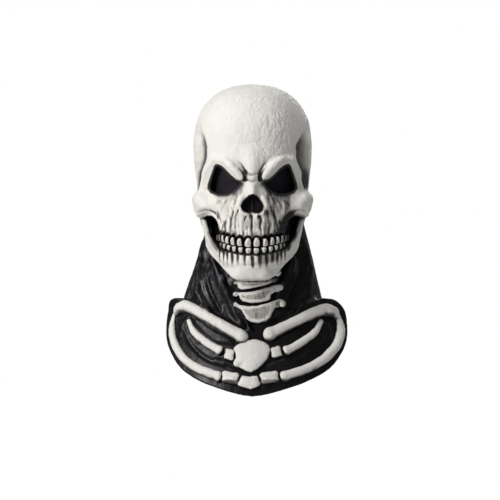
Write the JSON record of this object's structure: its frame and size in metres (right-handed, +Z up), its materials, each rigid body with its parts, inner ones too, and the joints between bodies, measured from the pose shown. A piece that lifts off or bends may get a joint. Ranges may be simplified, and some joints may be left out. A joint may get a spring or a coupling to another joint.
{
  "type": "full-head skull mask",
  "caption": "Full-head latex skull mask with a movable jaw, a black neck cowl that opens at the back, and a chest bib with clavicles and ribs in relief.",
  "frame": {"origin": "crown seat: the centre of the flat lower face of the crown pad, where the top of the wearer's head stops", "axes": "+Z up; the face looks along -Y; +X is the wearer's left; the mask is upright as worn"},
  "size_m": [0.3038, 0.2574, 0.5168],
  "materials": {
    "bone_latex": "matte, hand-painted, fine stipple",
    "relief_bone": "matte, hand-painted, dark washed edges",
    "teeth": "satin, dark washed gaps",
    "black_latex": "semi-gloss with dry-brushed grey streaks",
    "mesh": "fine black see-through mesh",
    "foam": "open-cell foam",
    "tape": "woven tape and hook-and-loop"
  },
  "bodies": {
    "skull": {"skull_shell": "bone_latex", "upper_teeth": "teeth", "eye_mesh_left": "mesh", "eye_mesh_right": "mesh", "nose_mesh": "mesh", "mouth_liner": "black_latex", "cheek_liner_left": "black_latex", "cheek_liner_right": "black_latex", "crown_pad": "foam", "forehead_pad": "foam", "rear_pad": "foam", "temple_pad_left": "foam", "temple_pad_right": "foam", "neck_front": "black_latex", "vertebra_1": "relief_bone", "vertebra_2": "relief_bone", "vertebra_3": "relief_bone", "vertebra_4": "relief_bone"},
    "jaw": {"jaw_shell": "bone_latex", "lower_teeth": "teeth", "chin_pad": "foam"},
    "flap_left": {"rear_flap_left": "black_latex", "slit_binding_left": "tape", "loop_strip": "tape"},
    "flap_right": {"rear_flap_right": "black_latex", "slit_binding_right": "tape", "hook_tab": "tape"},
    "bib": {"bib_skin": "black_latex", "clavicle_left": "relief_bone", "clavicle_right": "relief_bone", "first_rib_left": "relief_bone", "first_rib_right": "relief_bone", "second_rib_left": "relief_bone", "second_rib_right": "relief_bone", "first_cartilage_left": "relief_bone", "first_cartilage_right": "relief_bone", "second_cartilage_left": "relief_bone", "second_cartilage_right": "relief_bone", "manubrium": "relief_bone", "sternum_tip": "relief_bone"}
  },
  "joints": [
    {"name": "jaw_open", "type": "hinge", "parent": "skull", "child": "jaw", "pos_m": [0, -0.037, -0.19], "axis": [1, 0, 0], "range_deg": [0, 8], "stiffness_Nm_per_rad": 1.6, "springref_deg": -5.73},
    {"name": "bib_lift", "type": "hinge", "parent": "skull", "child": "bib", "pos_m": [0, -0.03, -0.345], "axis": [-1, 0, 0], "range_deg": [0, 20], "stiffness_Nm_per_rad": 0.4, "springref_deg": -2.86},
    {"name": "flap_right_open", "type": "hinge", "parent": "skull", "child": "flap_right", "pos_m": [0.06715, 0.05391, -0.198], "axis": [0.2032, 0.0824, -0.9757], "range_deg": [0, 55], "stiffness_Nm_per_rad": 0.2, "springref_deg": -2.86},
    {"name": "flap_left_open", "type": "hinge", "parent": "skull", "child": "flap_left", "pos_m": [-0.06715, 0.05391, -0.198], "axis": [0.2032, -0.0824, 0.9757], "range_deg": [0, 55], "stiffness_Nm_per_rad": 0.2, "springref_deg": -2.86}
  ],
  "couplings": [
    {"joint": "flap_left_open", "follows": "flap_right_open", "ratio": 1}
  ]
}
